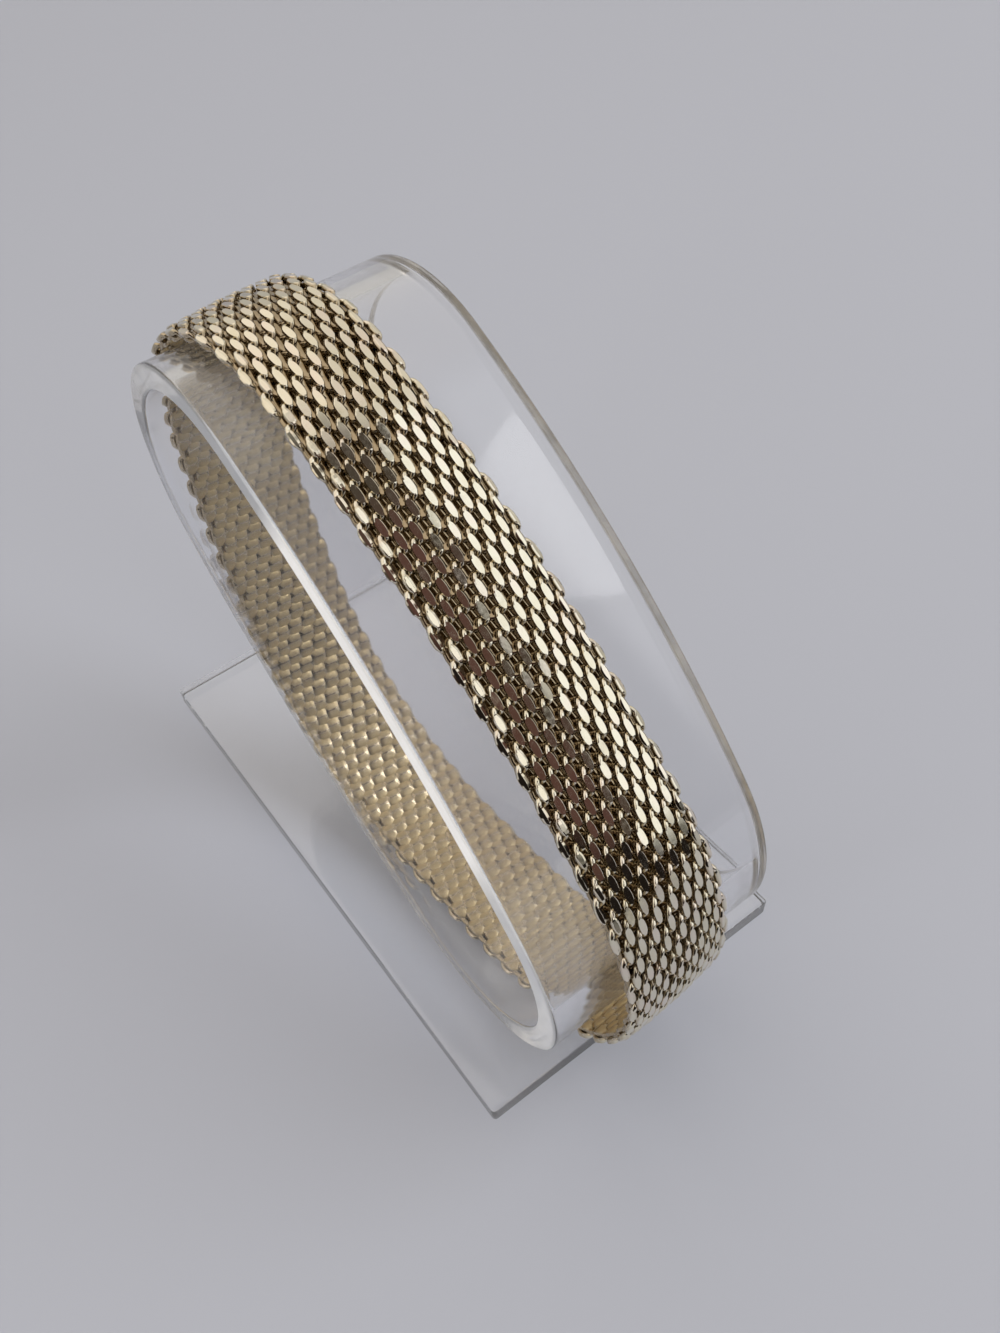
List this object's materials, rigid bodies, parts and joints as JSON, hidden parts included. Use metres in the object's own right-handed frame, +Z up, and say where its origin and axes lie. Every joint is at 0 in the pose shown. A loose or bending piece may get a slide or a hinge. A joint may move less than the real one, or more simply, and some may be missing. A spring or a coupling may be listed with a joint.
{
  "type": "mesh bracelet on display stand",
  "caption": "Domed woven-mesh bracelet, a closed slip-on loop, hung over a tilted clear oval ring on a flat clear base.",
  "frame": {"origin": "centre of the whole thing's box, on the underside of the base", "axes": "+Z up; +X along the base towards the low end of the oval ring; -Y is the open near side that the picture looks into"},
  "size_m": [0.0736, 0.0366, 0.0645],
  "materials": {
    "mesh_metal": "pale gold tone, bright flattened wire",
    "ring_acrylic": "clear polished acrylic",
    "base_acrylic": "clear polished acrylic sheet"
  },
  "bodies": {
    "root": {"mesh_band": "mesh_metal", "display_ring": "ring_acrylic", "display_base": "base_acrylic"}
  },
  "joints": []
}
